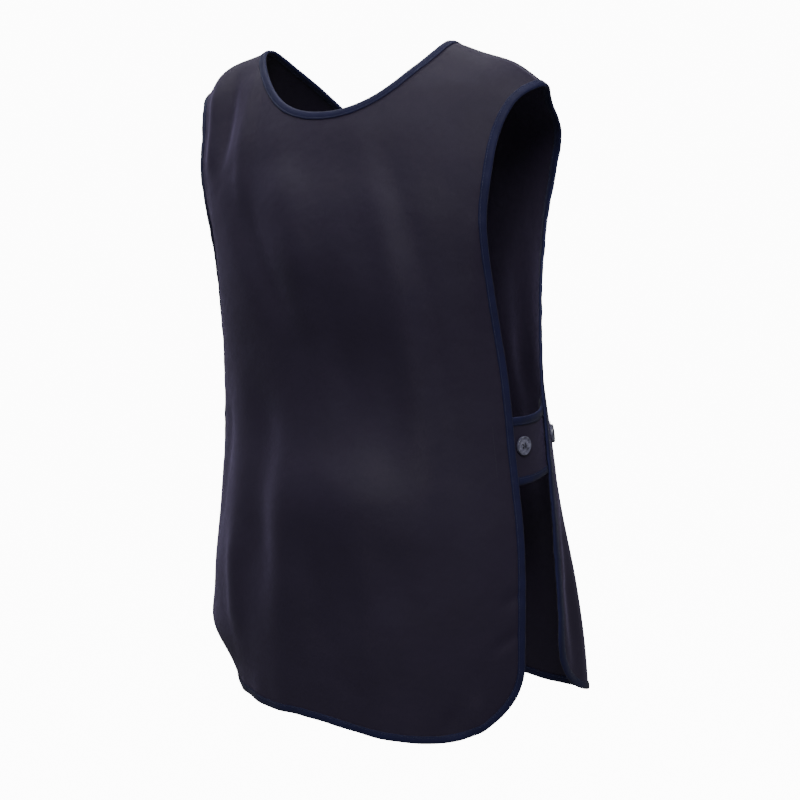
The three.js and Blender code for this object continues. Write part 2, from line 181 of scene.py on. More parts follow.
SECTION_COLUMNS = ("along", "middle drop", "edge drop", "half width", "middle depth", "edge depth", "sweep")
SECTIONS = np.array([
    (-1.0, 0.93, 0.938, 0.97, -1.3, -0.46, 84),
    (-0.85, 0.793, 0.802, 0.96, -1.26, -0.46, 83),
    (-0.7, 0.652, 0.668, 0.93, -1.2, -0.46, 82),
    (-0.58, 0.535, 0.557, 0.895, -1.14, -0.46, 80),
    (-0.45, 0.408, 0.436, 0.85, -1.1, -0.47, 74),
    (-0.33, 0.29, 0.323, 0.82, -1.05, -0.54, 68),
    (-0.24, 0.2, 0.235, 0.82, -0.94, -0.61, 60),
    (-0.17, 0.128, 0.17, 0.86, -0.8, -0.62, 54),
    (-0.11, 0.065, 0.118, 0.915, -0.58, -0.53, 48),
    (-0.055, 0.008, 0.08, 0.955, -0.28, -0.26, 44),
    (0.0, -0.034, 0.062, 1.0, 0.08, -0.04, 42),
    (0.055, 0.014, 0.08, 0.932, 0.31, 0.16, 45),
    (0.11, 0.08, 0.122, 0.885, 0.5, 0.27, 50),
    (0.17, 0.142, 0.175, 0.865, 0.65, 0.33, 56),
    (0.24, 0.212, 0.24, 0.84, 0.76, 0.32, 61),
    (0.33, 0.3, 0.325, 0.84, 0.82, 0.21, 61),
    (0.45, 0.417, 0.44, 0.868, 0.78, 0.08, 59),
    (0.58, 0.545, 0.562, 0.9, 0.74, 0.02, 54),
    (0.7, 0.66, 0.675, 0.94, 0.84, 0.0, 54),
    (0.85, 0.8, 0.81, 0.955, 0.92, 0.01, 56),
    (1.0, 0.94, 0.947, 0.955, 0.95, 0.0, 55),
])
MAIN_FOLDS = {  # across, along, width, length, height, lift
    "left shoulder": (0.76, 0.03, 0.16, 0.06, 0.07, 0),
    "right shoulder": (-0.82, 0.0, 0.14, 0.05, 0.04, 0),
    "left seat": (0.26, 0.66, 0.28, 0.1, 0.06, 0),
    "right seat": (-0.3, 0.68, 0.28, 0.1, 0.06, 0),
    "back hem, hollow": (0.6, 1.02, 0.42, 0.14, -0.1, 0.03),
    "back corner, turned in": (0.96, 1.02, 0.24, 0.07, -0.28, 0),
    "right front flare": (-0.72, -1.02, 0.2, 0.34, 0.26, 0),
    "left front flare": (0.72, -1.02, 0.2, 0.34, 0.26, 0),
}
SOFT_SWELLS = {  # the same, for the softer forms that only the finer cloth has
    "waist hollow": (-0.15, 0.47, 0.5, 0.08, -0.065, 0),
    "seat, upper": (-0.24, 0.635, 0.3, 0.065, 0.095, 0),
    "hem rise": (-0.12, 1.02, 0.24, 0.1, 0, 0.0165),
    "between the shoulders": (-0.15, 0.185, 0.55, 0.05, -0.03, 0),
    "left side, lower": (0.8, 0.83, 0.3, 0.08, 0.04, 0),
    "left side, at the corner": (0.78, 0.925, 0.3, 0.05, 0.1, 0),
    "left corner, curled": (0.8, 1.03, 0.3, 0.04, -0.07, 0),
    "left corner, hanging": (0.6, 1.01, 0.26, 0.09, 0, -0.018),
}


# %% Sections and the smooth form
def mix(a, b, share):
    return a + (b - a) * share


def smooth_curve(start, leave, end, arrive, x):
    """A curve from start to end that leaves and arrives with the given slopes, at a share x of the way"""
    first = start * (2 * x**3 - 3 * x**2 + 1) + leave * (x**3 - 2 * x**2 + x)
    return first + end * (3 * x**2 - 2 * x**3) + arrive * (x**3 - x**2)


def column(name, along):
    """One column of the section table at any place along the cloth"""
    along = np.asarray(along, float)
    knots, values = SECTIONS[:, 0], SECTIONS[:, SECTION_COLUMNS.index(name)]
    row = np.clip(np.searchsorted(knots, along, side="left") - 1, 0, len(knots) - 2)
    before, after = np.maximum(row - 1, 0), np.minimum(row + 2, len(knots) - 1)
    span = knots[row + 1] - knots[row]
    leave = span * (values[row + 1] - values[before]) / (knots[row + 1] - knots[before])
    arrive = span * (values[after] - values[row]) / (knots[after] - knots[row])
    return smooth_curve(values[row], leave, values[row + 1], arrive, (along - knots[row]) / span)


def draped(across, along):
    """The smooth surface before its folds; rows of x, y, z"""
    sweep = np.radians(column("sweep", along))
    turn = sweep * across
    middle = (np.cos(turn) - np.cos(sweep)) / (1 - np.cos(sweep))
    fall = np.abs(across) ** SLOPE_POWER
    return np.stack([
        HIP_HALF_WIDTH * column("half width", along) * np.sin(turn) / np.sin(sweep),
        BODY_DEPTH * mix(column("edge depth", along), column("middle depth", along), middle),
        -APRON_LENGTH * mix(column("middle drop", along), column("edge drop", along), fall),
    ], axis=-1)


def unit(rows):
    return rows / np.linalg.norm(rows, axis=-1, keepdims=True)


def run_along(points):
    """The distance run so far at each point of a line"""
    return np.concatenate([[0], np.cumsum(np.linalg.norm(np.diff(points, axis=0), axis=1))])


def slopes(surface, across, along):
    over = (surface(across + NUDGE, along) - surface(across - NUDGE, along)) / (2 * NUDGE)
    down = (surface(across, along + NUDGE) - surface(across, along - NUDGE)) / (2 * NUDGE)
    return over, down


def facing(surface, across, along):
    over, down = slopes(surface, across, along)
    return unit(np.cross(over, down))


print("neck point to hem:", np.round(draped(np.zeros(2), np.array([0.0, 1.0])), 3).tolist())

# %% [markdown]
# ## Folds
# Cloth that hangs from the shoulders falls in long soft ridges and valleys, and small puckers gather along
# the sewn edges where the tape is a little tighter than the cloth. A fold here is a line across the cloth
# with a rounded section that fades at both ends. The lines are placed after the photograph's shading.

# %% Lines of the folds
BACK_FOLDS = [  # (across, along) from one end to the other, width and height in metres
    ([(0.82, 0.02), (0.8, 0.2)], 0.012, 0.0045),
    ([(0.67, 0.01), (0.66, 0.2)], 0.012, -0.0045),
    ([(0.52, 0.02), (0.46, 0.2), (0.36, 0.3)], 0.014, 0.0035),
    ([(0.9, 0.2), (0.88, 0.42)], 0.016, -0.004),
    ([(0.5, 0.19), (0.3, 0.3), (0.04, 0.44)], 0.022, -0.0085),
    ([(0.22, 0.16), (0.06, 0.26), (-0.06, 0.38)], 0.022, 0.0045),
    ([(-0.2, 0.11), (-0.46, 0.25), (-0.55, 0.42), (-0.58, 0.62), (-0.62, 0.84)], 0.021, 0.0042),
    ([(-0.32, 0.12), (-0.64, 0.34), (-0.7, 0.6)], 0.015, -0.003),
    ([(-0.06, 0.3), (-0.2, 0.45), (-0.22, 0.56)], 0.022, -0.0035),
    ([(0.0, 0.55), (0.07, 0.63), (0.06, 0.76), (0.08, 0.92)], 0.024, 0.005),
    ([(0.34, 0.46), (0.27, 0.62), (0.24, 0.84)], 0.03, -0.009),
    ([(0.46, 0.7), (0.4, 0.92)], 0.018, 0.006),
    ([(0.7, 0.5), (0.72, 0.76)], 0.02, -0.004),
    ([(-0.1, 0.7), (-0.14, 0.9)], 0.02, -0.003),
    ([(-0.34, 0.66), (-0.38, 0.96)], 0.018, 0.0025),
    ([(-0.99, 0.83), (-0.86, 0.86)], 0.006, -0.0022),
    ([(-0.99, 0.77), (-0.9, 0.79)], 0.006, -0.0018),
    ([(-0.8, 0.92), (-0.83, 1.0)], 0.008, 0.003),
    ([(-0.7, 0.94), (-0.71, 1.0)], 0.007, -0.002),
    ([(-0.9, 0.2), (-0.86, 0.4)], 0.012, 0.0025),
]
FRONT_FOLDS = [
    ([(0.05, -0.45), (0.1, -0.7), (0.08, -1.0)], 0.024, -0.005),
    ([(-0.24, -0.5), (-0.2, -0.75), (-0.24, -1.0)], 0.02, -0.004),
]
PAIRED_FRONT_FOLDS = [  # the same on both sides
    ([(0.3, -0.25), (0.42, -0.5), (0.5, -0.95)], 0.022, 0.005),
    ([(0.62, -0.3), (0.55, -0.55)], 0.02, -0.004),
    ([(0.78, -0.6), (0.86, -0.8), (0.86, -1.0)], 0.014, -0.006),
    ([(0.5, -0.06), (0.42, -0.24)], 0.014, 0.003),
]
for line, width, height in PAIRED_FRONT_FOLDS:
    mirrored = [(-across, along) for across, along in line]
    FRONT_FOLDS += [(line, width, height), (mirrored, width, height)]
CUT_HALF_WIDTHS = (  # share of the length, half the width of the cut cloth there in metres
    (0.0, 0.225), (0.12, 0.205), (0.24, 0.19), (0.5, 0.216), (0.7, 0.235), (1.0, 0.248),
)
FOLD_REACH = 3  # how many times its width a fold is felt
FOLD_FADE = 0.35  # share of a fold's length over which each end fades
FOLD_END_HEIGHT = 0.15  # share of the height that is left at its ends


def flat_place(across, along):
    """Where a place lies on the cut cloth, in metres from its middle line and from the shoulder seam"""
    width = np.interp(np.abs(along), *zip(*CUT_HALF_WIDTHS))
    return np.stack([across * width, along * APRON_LENGTH], axis=-1)


def smooth_step(x):
    x = np.clip(x, 0, 1)
    return x * x * (3 - 2 * x)


def fold_height(across, along, line, width, height):
    here = flat_place(across, along)
    stops = flat_place(*np.array(line).T)
    reach = FOLD_REACH * width
    low, high = stops.min(axis=0) - reach, stops.max(axis=0) + reach
    if not np.any(np.all((here > low) & (here < high), axis=-1)):
        return np.zeros(here.shape[:-1])
    pieces = np.linalg.norm(np.diff(stops, axis=0), axis=1)
    total = pieces.sum()
    nearest, run_there, run = np.full(here.shape[:-1], np.inf), np.zeros(here.shape[:-1]), 0.0
    for start, end, length in zip(stops[:-1], stops[1:], pieces):
        share = np.clip(((here - start) @ (end - start)) / length**2, 0, 1)
        distance = np.linalg.norm(here - (start + share[..., None] * (end - start)), axis=-1)
        closer = distance < nearest
        nearest = np.where(closer, distance, nearest)
        run_there = np.where(closer, run + share * length, run_there)
        run += length
    fading = FOLD_FADE * total
    fade = smooth_step(run_there / fading) * smooth_step((total - run_there) / fading)
    return height * np.exp(-((nearest / width) ** 2)) * mix(FOLD_END_HEIGHT, 1, fade)


print("fold lines:", len(BACK_FOLDS), "on the back,", len(FRONT_FOLDS), "on the front")


# %% Puckers along the sewn edges
SIDE_PUCKER, SIDE_PUCKER_REACH = 0.0005, 0.012
HEM_PUCKER, HEM_PUCKER_REACH = 0.0016, 0.03
SLACK = 0.0006
LEFT_SHIFT = 0.31  # so that the two sides don't pucker alike


def waves(run, seed, lengths=(0.021, 0.034, 0.058)):
    """A steady mix of uneven waves along an edge, from -1 to 1"""
    shift = np.random.default_rng(seed).uniform(0, 2 * math.pi, len(lengths))
    return sum(np.sin(2 * math.pi * run / length + s) for length, s in zip(lengths, shift)) / len(lengths)


def pucker(across, along):
    flat = flat_place(across, along)
    side = np.abs(flat_place(np.ones_like(along), along)[..., 0]) - np.abs(flat[..., 0])
    hem = APRON_LENGTH - np.abs(flat[..., 1])
    shift = np.where(across > 0, LEFT_SHIFT, 0.0)
    along_side = SIDE_PUCKER * waves(flat[..., 1] + shift, 3) * np.exp(-side / SIDE_PUCKER_REACH)
    along_hem = HEM_PUCKER * waves(flat[..., 0], 5, (0.04, 0.075, 0.11)) * np.exp(-hem / HEM_PUCKER_REACH)
    slanting = waves(flat[..., 1] + 0.6 * flat[..., 0], 8, (0.09, 0.13))
    return along_side + along_hem + SLACK * slanting * waves(flat[..., 0], 9, (0.07, 0.12))


print("puckers:", SIDE_PUCKER, "m at the sides,", HEM_PUCKER, "m at the hems")

# %% The worn surface
SEAM_GROOVE_DEPTH, SEAM_GROOVE_WIDTH = 0.0007, 0.003
SEAM_FADE = 0.04  # share of the length over which folds grow out of the shoulder seam


def worn(across, along):
    """The cloth as it is worn, with every fold"""
    point = draped(across, along)
    out = facing(draped, across, along)
    height = np.zeros(point.shape[:-1])
    rise = np.zeros(point.shape[:-1])
    for over, down, width, length, stand, lift in [*MAIN_FOLDS.values(), *SOFT_SWELLS.values()]:
        strength = np.exp(-(((across - over) / width) ** 2) - ((along - down) / length) ** 2)
        height += BODY_DEPTH * stand * strength
        rise += APRON_LENGTH * lift * strength
    for line, width, stand in BACK_FOLDS + FRONT_FOLDS:
        side = 1 if line[0][1] > 0 else -1
        shown = smooth_step(side * along / SEAM_FADE)
        height += shown * fold_height(across, along, line, width, stand)
    height += pucker(across, along)
    height -= SEAM_GROOVE_DEPTH * np.exp(-((along * APRON_LENGTH / SEAM_GROOVE_WIDTH) ** 2))
    point = point + out * height[..., None]
    point[..., 2] += rise
    return point


def front_surface(across, along):
    """The front in the same way, from the wearer's left to right, so that it too faces out"""
    return worn(-across, -along)


back_surface = worn
SURFACES = {"back": back_surface, "front": front_surface}
print("deepest fold:", min(f[2] for f in BACK_FOLDS + FRONT_FOLDS))

# %% [markdown]
# ## Cutting the panels
# A panel's outline runs down one side, round a lower corner, along the hem and up again, and the neckline
# closes it. A grid of places fills the outline, which gives even squares that follow the edges. Laid on the
# worn surface the grid is the middle of the cloth, and a Solidify modifier gives it its thickness.

# %% Outlines
SIDE_STEPS, CORNER_STEPS, HEM_STEPS, NECK_STEPS, SEAM_STEPS = 150, 30, 84, 88, 28
SIDE_CROWDING = 0.45  # how much closer a side's steps lie near the shoulder, 0 for even steps


def joined(curves):
    """Several curves of places as one path, without double points"""
    return np.concatenate([curves[0]] + [curve[1:] for curve in curves[1:]])


def free_edge(corner_across, corner_along, steps, start, crowding):
    """The edge down one side, along the end and up the other side, as five curves"""
    side_steps, corner_steps, end_steps = steps
    side_end = 1 - corner_along
    x = np.linspace(0, 1, side_steps + 1)
    down = mix(start, side_end, mix(x, x * x, crowding))
    angle = np.linspace(0, math.pi / 2, corner_steps + 1)
    arc = np.stack([1 - corner_across * (1 - np.cos(angle)), side_end + corner_along * np.sin(angle)], -1)
    mirror = np.array([-1, 1])
    end = np.linspace(-(1 - corner_across), 1 - corner_across, end_steps + 1)
    return [
        np.stack([-np.ones_like(x), down], -1),
        arc * mirror,
        np.stack([end, np.ones_like(end)], -1),
        arc[::-1],
        np.stack([np.ones_like(x), down[::-1]], -1),
    ]


def neckline(name):
    """The cut neck from left to right, a little slimmer than half an ellipse"""
    sweep = math.radians(float(column("sweep", 0)))
    shoulder = HIP_HALF_WIDTH * float(column("half width", 0))
    neck = math.asin(NECK_HALF_WIDTH * math.sin(sweep) / shoulder) / sweep
    angle = np.linspace(math.pi / 2, -math.pi / 2, NECK_STEPS + 1)
    depth = np.cos(angle) * (1 - NECK_TAPER * np.sin(angle) ** 2)
    return np.stack([neck * np.sin(angle), SEAM_START + NECK_DROPS[name] / APRON_LENGTH * depth], -1)


def fill(top, bottom, left, right):
    """A grid of places that fills the four curves round it"""
    over = np.linspace(0, 1, len(top))[None, :, None]
    down = np.linspace(0, 1, len(left))[:, None, None]
    ruled = mix(top[None], bottom[None], down) + mix(left[:, None], right[:, None], over)
    corners = mix(mix(top[0], top[-1], over), mix(bottom[0], bottom[-1], over), down)
    return ruled - corners


def panel_outline(name):
    surface = SURFACES[name]
    over, _ = slopes(surface, np.array([1.0]), np.array([1.0]))
    corner_across = CORNER_WIDTH / np.linalg.norm(over[0])
    steps = (SIDE_STEPS, CORNER_STEPS, HEM_STEPS)
    return free_edge(corner_across, CORNER_HEIGHT / APRON_LENGTH, steps, SEAM_START, SIDE_CROWDING)


def panel_grid(name):
    edges = panel_outline(name)
    left, bottom, right = edges[0], joined(edges[1:4]), edges[4][::-1]
    neck = neckline(name)[::-1]
    to_neck = np.linspace(left[0], neck[0], SEAM_STEPS + 1)
    from_neck = np.linspace(neck[-1], right[0], SEAM_STEPS + 1)
    return fill(joined([to_neck, neck, from_neck]), bottom, left, right)


print("back grid:", panel_grid("back").shape)


# %% Sheets of cloth from grids
def new_piece(name, mesh):
    piece = bpy.data.objects.new(name, mesh)
    bpy.context.collection.objects.link(piece)
    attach(piece, "root")
    return piece


def mesh_piece(name, points, faces, places=None):
    """A piece from points and faces; places are its flat coordinates, kept as its UV map"""
    mesh = bpy.data.meshes.new(name)
    mesh.from_pydata(points.reshape(-1, 3).tolist(), [], faces)
    mesh.update()
    if places is not None:
        layer = mesh.uv_layers.new(name="cloth")
        corners = np.zeros(len(mesh.loops), dtype=int)
        mesh.loops.foreach_get("vertex_index", corners)
        layer.data.foreach_set("uv", places.reshape(-1, 2)[corners].ravel())
    mesh.shade_smooth()
    return new_piece(name, mesh)


def grid_faces(rows, columns):
    """Squares between neighbouring points of a grid"""
    starts = [i * columns + j for i in range(rows - 1) for j in range(columns - 1)]
    return [(a, a + columns, a + columns + 1, a + 1) for a in starts]


def sheet_piece(name, surface, grid, flat, thickness=CLOTH):
    """Cloth laid on a surface, its middle layer first and then its thickness"""
    across, along = grid[..., 0], grid[..., 1]
    piece = mesh_piece(name, surface(across, along), grid_faces(*grid.shape[:2]), flat)
    out = facing(surface, across[:1, :1], along[:1, :1])[0, 0]
    if piece.data.polygons[0].normal.dot(Vector(out)) < 0:
        piece.data.flip_normals()
    wall = piece.modifiers.new("thickness", "SOLIDIFY")
    wall.thickness = thickness
    wall.offset = 0
    wall.use_even_offset = True
    apply_all(piece)
    return piece


panels = {}
for name in ("back", "front"):
    grid = panel_grid(name)
    flat = flat_place(grid[..., 0], grid[..., 1])
    panels[name] = sheet_piece(f"{name}_panel_cloth", SURFACES[name], grid, flat)
    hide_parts(f"{name}_panel")
    print(name, "panel:", len(panels[name].data.polygons), "faces")

# %% [markdown]
# ## Binding the edges
# Bias tape folded in half lengthwise is laid over a cut edge and sewn through both its sides at once. It can
# be drawn as a section that is carried along the edge: the fold is round, the sides belly out a little, and
# they dip where the stitches pull them to the cloth. Small uneven waves keep the tape from looking moulded.

# %% Tape along an edge
TAPE_SECTION = [  # distance inside the cut edge, height above the middle of the cloth, in metres
    (-0.0004, 0.0000), (-0.0003, 0.00072), (0.0020, 0.00082), (0.0056, 0.00070), (0.0070, 0.00074),
    (0.0071, 0.00135), (0.0064, 0.00152), (0.0056, 0.00138), (0.0046, 0.00168), (0.0026, 0.00186),
    (0.0008, 0.00182), (-0.0004, 0.00148), (-0.0010, 0.00082), (-0.0012, 0.0000),
]
INSET = 0.008  # from the cut edge to the line inside it from which the tape's places are found
CAP_SPAN = 4  # points of a section on each side of the outer fold that the end's squares take in


def inside(surface, path, distance=INSET):
    """Places that lie a given distance inside an edge, on the right of its path"""
    tangent = np.gradient(path, axis=0)
    over, down = slopes(surface, path[:, 0], path[:, 1])
    scale = np.stack([np.linalg.norm(over, axis=-1), np.linalg.norm(down, axis=-1)], -1)
    way = unit(tangent * scale)
    return path + np.stack([way[:, 1], -way[:, 0]], -1) * distance / scale


class Edge:
    """An edge of a sheet: points over and inside it, and how far along it they lie"""

    def __init__(self, surface, path):
        self.surface, self.path = surface, path
        self.inset = inside(surface, path)
        start = surface(*path.T)
        self.inward = unit(surface(*self.inset.T) - start)
        self.run = run_along(start)

    def spots(self, distance):
        """Points of the middle of the cloth at a distance inside the edge, and where they face"""
        place = mix(self.path, self.inset, (np.maximum(distance, 0) / INSET)[..., None])
        near = self.surface(place[..., 0], place[..., 1])
        out = facing(self.surface, place[..., 0], place[..., 1])
        return near + self.inward * np.minimum(distance, 0)[..., None], out


def tape_rows(edge, seed):
    """Sections of tape along an edge, from the middle of the outer fold round to itself"""
    swell = 0.00010 * waves(edge.run, seed, (0.0083, 0.013, 0.024))
    width = 0.00025 * waves(edge.run, seed + 1, (0.017, 0.045))
    distance, height = (level[:, None] for level in np.array(TAPE_SECTION).T)
    near, out = edge.spots(distance + (distance > 0.006) * width)
    rise = out * (height + (height > 0.001) * swell)[..., None]
    upper, lower = near + rise, near - rise
    return np.concatenate([upper, lower[-2:0:-1]]).transpose(1, 0, 2)


def tape_piece(name, row_groups, closed):
    """Tape from its sections; its flat coordinates run along it and once round its section"""
    rows = np.concatenate(row_groups)
    count, size = rows.shape[:2]
    faces = []
    for k in range(count if closed else count - 1):
        far = (k + 1) % count
        for i in range(size):
            turn = (i + 1) % size
            faces.append((k * size + i, k * size + turn, far * size + turn, far * size + i))
    if not closed:
        faces += cap_faces(size, 0) + cap_faces(size, (count - 1) * size)
    round_section = np.linspace(0, 1, size, endpoint=False)
    places = np.stack(np.meshgrid(run_along(rows[:, 0]), round_section, indexing="ij"), -1)
    piece = mesh_piece(name, rows, faces, places)
    outward(piece)
    return piece


def cap_faces(size, base):
    """Squares that close the end of the tape, between its inner and its outer line"""
    half = size // 2
    span = range(-CAP_SPAN, CAP_SPAN + 1)
    inner, outer = [i % size for i in span], [half - i for i in span]
    quads = []
    for a, b, c, d in zip(inner[:-1], inner[1:], outer[1:], outer[:-1]):
        quads.append((base + a, base + b, base + c, base + d))
    top = [base + i for i in range(CAP_SPAN, half - CAP_SPAN + 1)]
    bottom = [base + i for i in range(half + CAP_SPAN, size - CAP_SPAN + 1)]
    return quads + [tuple(top), tuple(bottom)]


def outward(piece):
    """Recalculates the normals of a closed piece so that they point out"""
    activate(piece)
    bpy.ops.object.mode_set(mode="EDIT")
    bpy.ops.mesh.select_all(action="SELECT")
    bpy.ops.mesh.normals_make_consistent(inside=False)
    bpy.ops.object.mode_set(mode="OBJECT")
    piece.data.shade_smooth()


outer_edges = {name: Edge(SURFACES[name], joined(panel_outline(name))) for name in SURFACES}
neck_edges = {name: Edge(SURFACES[name], neckline(name)) for name in SURFACES}
edge_tape = tape_piece("edge_tape", [tape_rows(outer_edges[n], 11) for n in ("back", "front")], True)
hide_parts("edge_binding")
neck_tape = tape_piece("neck_tape", [tape_rows(neck_edges[n], 14) for n in ("back", "front")], True)
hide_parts("neck_binding")
print("tape:", round(sum(e.run[-1] for e in outer_edges.values()), 2), "m round the panels")

# %% [markdown]
# ## Side tabs
# Each tab is a short strip of the same cloth. One end is sewn under the back panel, the other slips under
# the front panel and is buttoned to it. Its long sides and its rounded front end are bound. The strip follows
# the back panel, crosses the open side on a smooth curve, and then follows the front panel.

# %% Surface of a tab
TAB_HEIGHT = 0.07
TAB_DROP = 0.408
TAB_UNDER_BACK = 0.024
TAB_SEAM_WIDTH = 0.008
TAB_UNDER_FRONT = 0.042
TAB_CORNER_RADIUS = 0.014
TAB_DEPTH = CLOTH + 2 * TAPE + 3 * SEWN_GAP  # how far the tab lies under the middle of a panel
TAB_STEPS = (56, 8, 24)
MILLIMETRE = 0.001


class Tab:
    """A tab as a surface, -1 to 1 across its height and 0 to 1 from its sewn end to its front end"""

    def __init__(self, side):
        self.side = side
        self.seam_end = TAB_UNDER_BACK - TAB_SEAM_WIDTH
        middle = np.array([0.0])
        across_gap = self.back(middle, self.seam_end) - self.front(middle, 0.0)
        self.gap = float(np.linalg.norm(across_gap))
        self.length = TAB_SEAM_WIDTH + self.gap + TAB_UNDER_FRONT

    def under(self, surface, edge, across, distance):
        along = (TAB_DROP - self.side * across * TAB_HEIGHT / 2) / APRON_LENGTH
        rim = np.full_like(along, edge)
        over, _ = slopes(surface, rim, along)
        place = edge * (1 - distance / np.linalg.norm(over, axis=-1))
        return surface(place, along) - facing(surface, place, along) * TAB_DEPTH

    def back(self, across, distance):
        return self.under(back_surface, self.side, across, distance)

    def front(self, across, distance):
        return self.under(front_surface, -self.side, across, distance)

    def __call__(self, across, along):
        run = along * self.length - TAB_SEAM_WIDTH
        x = np.clip(run / self.gap, 0, 1)[..., None]
        start, end = self.back(across, self.seam_end), self.front(across, 0.0)
        leave = (start - self.back(across, self.seam_end + MILLIMETRE)) / MILLIMETRE * self.gap
        arrive = (self.front(across, MILLIMETRE) - end) / MILLIMETRE * self.gap
        free = smooth_curve(start, leave, end, arrive, x)
        sewn = self.back(across, self.seam_end - np.minimum(run, 0))
        buttoned = self.front(across, np.maximum(run - self.gap, 0))
        run = run[..., None]
        return np.where(run <= 0, sewn, np.where(run >= self.gap, buttoned, free))


tabs = {"right": Tab(-1), "left": Tab(1)}
tab_pieces, tab_tapes, tab_edges = {}, {}, {}
for name, tab in tabs.items():
    corner = (2 * TAB_CORNER_RADIUS / TAB_HEIGHT, TAB_CORNER_RADIUS / tab.length)
    edges = free_edge(*corner, TAB_STEPS, 0.0, 0.0)
    left, bottom, right = edges[0], joined(edges[1:4]), edges[4][::-1]
    grid = fill(np.linspace(left[0], right[0], len(bottom)), bottom, left, right)
    flat = grid * np.array([TAB_HEIGHT / 2, tab.length])
    tab_pieces[name] = sheet_piece(f"{name}_tab_cloth", tab, grid, flat)
    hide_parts(f"{name}_tab")
    tab_edges[name] = Edge(tab, joined(edges))
    tab_tapes[name] = tape_piece(f"{name}_tab_tape", [tape_rows(tab_edges[name], 17)], False)
    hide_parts(f"{name}_tab_binding")
    print(name, "tab:", round(tab.length, 3), "m long")

# %% [markdown]
# ## Stitches
# A lockstitch shows as a row of short threads with a small gap between them, sunk a little into the tape. One
# stitch is a slim ball drawn out along the thread, and it is copied along the line at the machine's pitch.

# %% One stitch
STITCH_PITCH = 0.0029
STITCH_LENGTH = 0.0025
STITCH_THICKNESS = 0.00045
STITCH_INSET = 0.0056  # inside the cut edge, where the tape's section dips
STITCH_HEIGHT = 0.00146  # above the middle of the cloth

deselect_all()
bpy.ops.mesh.primitive_uv_sphere_add(segments=6, ring_count=5, radius=0.5, rotation=(0, math.pi / 2, 0))
bpy.ops.object.transform_apply(rotation=True)
bpy.ops.object.mode_set(mode="EDIT")
bpy.ops.mesh.select_all(action="SELECT")
bpy.ops.transform.resize(value=(STITCH_LENGTH, STITCH_THICKNESS, STITCH_THICKNESS))
bpy.ops.object.mode_set(mode="OBJECT")
stitch = bpy.context.object
STITCH_POINTS = np.array([v.co[:] for v in stitch.data.vertices])
STITCH_FACES = [tuple(p.vertices) for p in stitch.data.polygons]
bpy.data.objects.remove(stitch)
print("one stitch:", len(STITCH_FACES), "faces")


# %% Rows of stitches
def stitch_row(line, out):
    """Places copies of the stitch along a line of points, lying on the side that the line faces"""
    run = run_along(line)
    count = int(run[-1] / STITCH_PITCH)
    middle = (np.arange(count) + 0.5) * run[-1] / count

    def at(rows, where):
        return np.stack([np.interp(where, run, rows[:, axis]) for axis in range(3)], -1)

    here = at(line, middle)
    ahead = unit(at(line, middle + STITCH_LENGTH / 2) - at(line, middle - STITCH_LENGTH / 2))
    up = at(out, middle)
    up = unit(up - ahead * np.sum(up * ahead, axis=-1, keepdims=True))
    aside = np.cross(up, ahead)
    local = STITCH_POINTS[None, :, :, None] * np.stack([ahead, aside, up], 1)[:, None]
    return here[:, None] + local.sum(axis=2)


def stitch_piece(name, rows):
    points = np.concatenate([row.reshape(-1, 3) for row in rows])
    count = len(STITCH_POINTS)
    faces = [tuple(i + base for i in face) for base in range(0, len(points), count) for face in STITCH_FACES]
    return mesh_piece(name, points, faces)


def tape_stitches(name, edges):
    """The stitches along taped edges, on both faces of the tape"""
    rows = []
    for edge in edges:
        near, out = edge.spots(np.full(len(edge.path), STITCH_INSET))
        for side in (1, -1):
            rows.append(stitch_row(near + out * side * STITCH_HEIGHT, side * out))
    return stitch_piece(name, rows)


edge_stitches = tape_stitches("edge_stitches", outer_edges.values())
neck_stitches = tape_stitches("neck_stitches", neck_edges.values())
tab_stitches = {name: tape_stitches(f"{name}_tab_stitches", [tab_edges[name]]) for name in tabs}
print("stitches:", len(edge_stitches.data.polygons) // len(STITCH_FACES), "round the panels")

# %% [markdown]
# ## Shoulder seams
# The two panels are sewn right sides together, and the allowance is pressed open inside. From outside the
# seam is a shallow groove. Inside, a flat strip of doubled cloth runs from the neck to the armhole.

# %% Seam allowances
SEAM_ALLOWANCE = 0.011
ALLOWANCE_THICKNESS = 0.0009
ALLOWANCE_GRID = (40, 13)
ALLOWANCE_DEPTH = CLOTH + SEWN_GAP
UNDER_TAPE = 0.033  # across, so that both ends are caught under the tape


def allowance_surface(across, along):
    return worn(across, along) - facing(worn, across, along) * ALLOWANCE_DEPTH


seams = {}
neck_place = float(neckline("back")[0, 0])
for name, side in (("right", -1), ("left", 1)):
    over = np.linspace(neck_place + UNDER_TAPE, 1 - UNDER_TAPE, ALLOWANCE_GRID[0]) * side
    down = np.linspace(-1, 1, ALLOWANCE_GRID[1]) * SEAM_ALLOWANCE / APRON_LENGTH
    grid = np.stack(np.meshgrid(over, down, indexing="ij"), -1)
    flat = flat_place(grid[..., 0], grid[..., 1])
    strip = f"{name}_seam_allowance"
    seams[name] = sheet_piece(strip, allowance_surface, grid, flat, ALLOWANCE_THICKNESS)
    print(name, "seam allowance:", len(seams[name].data.polygons), "faces")

# %% [markdown]
# ## Buttons
# A common four-hole shirt or overall button is turned from a sheet of cast polyester: a flat disc with a
# rounded rim, a dished middle and four drilled holes. Here it is a cylinder that is inset, pushed in and
# bevelled, and the holes are cut by thinner cylinders. One is modelled and copied to its four places.

# %% One button
BUTTON_RADIUS = 0.0095
BUTTON_THICKNESS = 0.0028
BUTTON_DISH = 0.0008
RIM_WIDTH = 0.0018
HOLE_RADIUS = 0.001
HOLE_SPACING = 0.0034
ROUNDING = 0.0007


